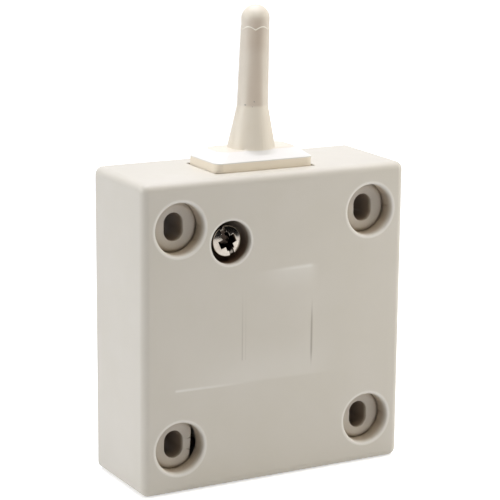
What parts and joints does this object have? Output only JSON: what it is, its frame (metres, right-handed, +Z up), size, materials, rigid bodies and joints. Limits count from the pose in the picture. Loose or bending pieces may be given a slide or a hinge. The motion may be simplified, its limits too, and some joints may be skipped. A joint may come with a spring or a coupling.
{
  "type": "pushbutton switch",
  "caption": "Surface-mounted door switch: a boxed housing with slotted fixing holes and a long sprung pin that opens the contacts when a door presses it down.",
  "frame": {"origin": "middle of the housing's bottom", "axes": "+Z up along the pin, -Y out of the front with the fixing holes, +Y towards the mounting surface"},
  "size_m": [0.047, 0.017, 0.0753],
  "materials": {
    "ivory_cover": "satin moulded ivory",
    "ivory_base": "matte moulded ivory",
    "ivory_plunger": "satin moulded ivory",
    "nickel": "nickel-plated steel",
    "spring_steel": "drawn spring wire",
    "brass": "stamped brass",
    "silver": "silver contact facing",
    "zinc_steel": "zinc-plated steel"
  },
  "bodies": {
    "housing": {"cover": "ivory_cover", "base": "ivory_base", "cover_screw": "nickel", "return_spring": "spring_steel", "fixed_tip_left": "silver", "fixed_tip_right": "silver", "contact_strip_left": "brass", "contact_strip_right": "brass", "terminal_clamp_left": "brass", "terminal_clamp_right": "brass", "terminal_screw_left": "zinc_steel", "terminal_screw_right": "zinc_steel", "cable_clamp": "ivory_base", "cable_clamp_screw_left": "zinc_steel", "cable_clamp_screw_right": "zinc_steel"},
    "plunger": {"plunger": "ivory_plunger", "contact_spring": "spring_steel"},
    "bridge": {"contact_bridge": "brass", "bridge_tip_left": "silver", "bridge_tip_right": "silver"}
  },
  "joints": [
    {"name": "plunger_press", "type": "slide", "parent": "housing", "child": "plunger", "axis": [0, 0, -1], "range_m": [0, 0.0045], "stiffness_N_per_m": 300, "springref_m": -0.004, "deforming": ["return_spring"]},
    {"name": "bridge_follow", "type": "slide", "parent": "housing", "child": "bridge", "axis": [0, 0, -1], "range_m": [0, 0.0036], "deforming": ["contact_spring"]}
  ],
  "couplings": [
    {"joint": "bridge_follow", "follows": "plunger_press", "ratio": 0.8}
  ]
}
